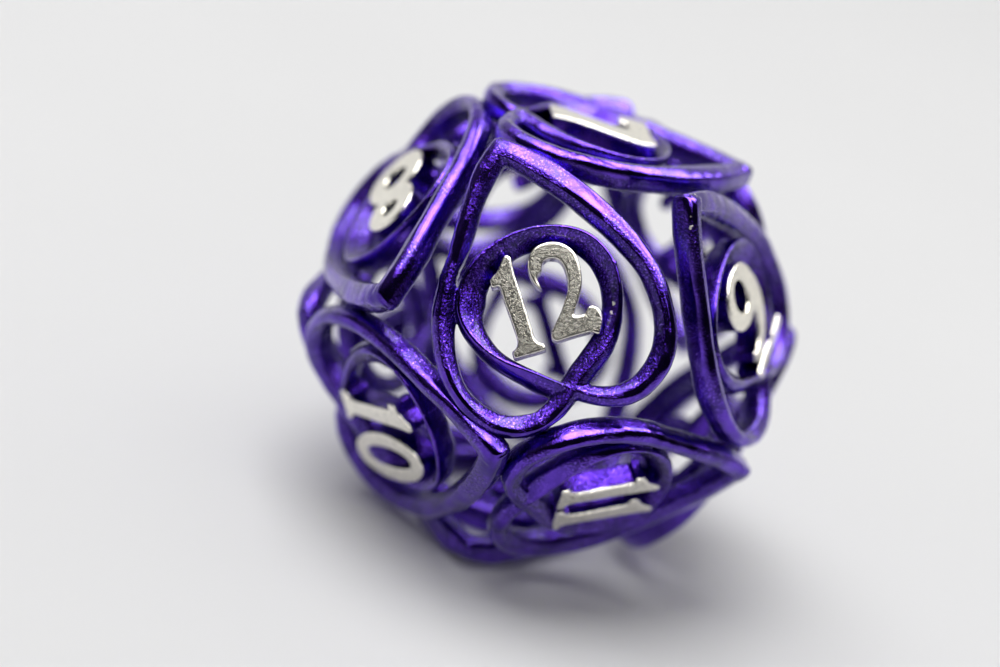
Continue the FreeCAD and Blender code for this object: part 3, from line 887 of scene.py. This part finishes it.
def silver_material():
    """Bare silver on the numerals' tops, purple plating down their walls."""
    material = bpy.data.materials.new("bare_silver_face")
    tree = Shader(material)
    place = tree.millimetres()
    level = tree.attribute("level")
    wobble = tree.centred(tree.noise(place, scale=5.0, detail=2.0), span=0.10)
    bare = tree.remap(tree.math("ADD", level, wobble), lo=-0.17, hi=-0.11)
    # the plating down the walls gets the same painted shade in pits and painted glints on
    # crests
    grain_and_painted_specks = tree.linear(bare, gain=-0.2, offset=0.8)
    purple, purple_rough, fine = purple_parts(tree, place, grain_and_painted_specks)
    mottled = tree.noise(place, scale=6.5, detail=4.0, rough=0.65)
    metal = tree.mix(tree.remap(mottled, lo=0.46, hi=0.72), SILVER, SILVER_DULL)
    colour = tree.mix(bare, purple, metal)
    metal_rough = tree.remap(mottled, lo=0.25, hi=0.75, to_lo=0.17, to_hi=0.30)
    rough = tree.add("ShaderNodeMix", data_type="FLOAT")
    for k, item in ((0, bare), (2, purple_rough), (3, metal_rough)):
        tree.put(rough.inputs[k], item)
    fine_height = 0.5
    height = tree.math("ADD", tree.noise(place, scale=7.0, detail=4.0, rough=0.7),
                       tree.math("MULTIPLY", fine, fine_height))
    tree.metal(colour, rough.outputs[0], coat=0.0, height=height, strength=0.4,
               distance=0.000024)
    return material


plated = plated_material()
silver = silver_material()
for piece in band_pieces:
    piece.data.materials.append(plated)
for piece in digit_pieces:
    piece.data.materials.append(silver)
for node_name, node_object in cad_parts.items():
    is_number = node_name.startswith(("numeral", "underline"))
    node_object.data.materials.clear()
    node_object.data.materials.append(silver if is_number else plated)


# -------------------------------------------------------------------- floor
def floor_material():
    """Pale sheet, a little uneven, with painted shade towards the viewer and far away, and
    a weak painted glow seen only in the metal's reflections.
    """
    material = bpy.data.materials.new("pale_floor")
    tree = Shader(material)
    bsdf = tree.principled()
    tree.put(bsdf.inputs["Roughness"], 0.9)
    place = tree.millimetres()
    split = tree.add("ShaderNodeSeparateXYZ")
    tree.put(split.inputs[0], place)
    depth = split.outputs[1]
    # painted shade on the near side, seen in reflections but not by the camera itself
    near_shade = tree.remap(depth, lo=-110.0, hi=-32.0, to_lo=0.16, to_hi=1.0)
    near_shade = tree.math("MAXIMUM", near_shade, tree.light_path("Is Camera Ray"))
    # painted shade far away, where the light falls off
    far_shade = tree.remap(depth, lo=20.0, hi=260.0, to_lo=1.0, to_hi=0.86)
    shade = tree.math("MULTIPLY", near_shade, far_shade)
    uneven = tree.remap(tree.noise(place, scale=0.02, detail=2.0),
                        lo=0.2, hi=0.8, to_lo=0.97, to_hi=1.0)
    shade_and_tone = tree.math("MULTIPLY", shade, uneven)
    tree.put(bsdf.inputs["Base Color"], tree.mix(shade_and_tone, BLACK, FLOOR_PALE))
    # a weak painted glow that only the metal's mirror sees, so the floor it reflects looks
    # brighter, also in the die's shadow
    painted_glow_strength = 0.12
    painted_glow = tree.math("MULTIPLY", tree.light_path("Is Glossy Ray"), shade_and_tone)
    tree.put(bsdf.inputs["Emission Color"], (1.0, 1.0, 1.0, 1))
    tree.put(bsdf.inputs["Emission Strength"],
             tree.math("MULTIPLY", painted_glow, painted_glow_strength))
    return material


def floor_piece():
    count, half = 60, 0.6       # vertices along a side, half the side in metres
    gap = 0.00002               # clearance under the die in metres
    line = np.linspace(-half, half, count)
    verts = [(x, y, -INRADIUS / MM_PER_M - gap) for y in line for x in line]
    faces = [(j * count + i, j * count + i + 1,
              (j + 1) * count + i + 1, (j + 1) * count + i)
             for j in range(count - 1) for i in range(count - 1)]
    mesh = bpy.data.meshes.new("floor")
    mesh.from_pydata(verts, [], faces)
    obj = add_object("floor", mesh)
    mesh.materials.append(floor_material())


floor_piece()

# ------------------------------------------------------------------- camera
# The camera's right, up and back directions, and its place in metres.
CAM_RIGHT = (0.946293937, 0.161128497, 0.280295188)
CAM_UP = (-0.318687954, 0.318837225, 0.892625796)
CAM_BACK = (0.0544589125, -0.934013079, 0.353063444)
CAM_POS = (0.00388125432, -0.102992223, 0.0376646353)


def camera():
    data = bpy.data.cameras.new("camera")
    data.sensor_width = 36.0
    data.lens = 82.512
    data.clip_start = 0.005
    data.clip_end = 10.0
    obj = add_object("camera", data)
    obj.matrix_world = Matrix(list(zip(CAM_RIGHT, CAM_UP, CAM_BACK, CAM_POS))
                              + [(0, 0, 0, 1)])
    bpy.context.scene.camera = obj
    data.dof.use_dof = True
    data.dof.aperture_fstop = 20.0
    return data


camera_data = camera()


# -------------------------------------------------------------------- light
def world_light():
    world = bpy.data.worlds.new("studio")
    bpy.context.scene.world = world
    tree = Shader(world)
    out = tree.add("ShaderNodeOutputWorld")
    background = tree.add("ShaderNodeBackground")
    tree.put(out.inputs[0], background.outputs[0])
    view = tree.add("ShaderNodeTexCoord").outputs["Generated"]

    def toward(direction):
        return tree.vector_value("DOT_PRODUCT", view, direction.normalized())

    right, up, back = Vector(CAM_RIGHT), Vector(CAM_UP), Vector(CAM_BACK)
    # bright beyond the die, dark behind the camera but for a faint glow above
    level = tree.remap(toward(back), lo=-0.62, hi=-0.05, to_lo=0.86, to_hi=0.016)
    above = tree.remap(toward(up), lo=0.25, hi=0.60, to_lo=0.0, to_hi=0.13)
    behind = tree.remap(toward(back), lo=-0.2, hi=0.3, to_lo=0.0, to_hi=1.0)
    level = tree.math("ADD", level, tree.math("MULTIPLY", above, behind))
    # soft round lamps: direction, cosines of the rim and of the full core, strength
    for direction, rim, core, strength in (
            (right * 0.70 + up * 0.70, 0.93, 0.97, 11.0),
            (right * 0.54 + up * 0.56 + back * 0.62, 0.95, 0.985, 5.0),
            (right * 0.18 + up * 0.74 + back * 0.65, 0.91, 0.965, 11.5),
            (up * 0.95 + back * 0.22 - right * 0.10, 0.90, 0.97, 6.5)):
        lamp = tree.remap(toward(direction), lo=rim, hi=core, to_lo=0.0, to_hi=strength)
        level = tree.math("ADD", level, lamp)
    # straight past the floor the studio wall is even and pale
    wall_level = 0.74
    direct = tree.light_path("Is Camera Ray")
    reflected = tree.math("MULTIPLY", level, tree.math("SUBTRACT", 1.0, direct))
    level = tree.math("ADD", reflected, tree.math("MULTIPLY", direct, wall_level))
    tree.put(background.inputs["Strength"], level)
    tree.put(background.inputs["Color"], (1.0, 0.99, 0.97, 1))
    world.cycles_visibility.diffuse = False


def floor_light(name, toward, strength, spread):
    """Soft light for the pale floor only; the metal reflects the studio."""
    data = bpy.data.lights.new(name, "SUN")
    data.energy = strength
    data.angle = math.radians(spread)
    data.color = (1.0, 1.0, 1.0)
    obj = add_object(name, data)
    obj.rotation_mode = "QUATERNION"
    obj.rotation_quaternion = Vector(toward).normalized().to_track_quat("Z", "Y")
    obj.visible_glossy = False
    return obj


world_light()
dome = floor_light("dome", toward=(-0.05, 0.0, 1.0), strength=0.80, spread=160)
floor_light("window", toward=(-0.32, 0.10, 1.0), strength=2.12, spread=50)
# the sharpest focus lies on the 12, where the dome light's object is put
dome.location = Vector(face_normal(12) * INRADIUS / MM_PER_M)
camera_data.dof.focus_object = dome

view_settings = bpy.context.scene.view_settings
view_settings.view_transform = "Standard"
view_settings.look = "None"
view_settings.exposure = 0.0
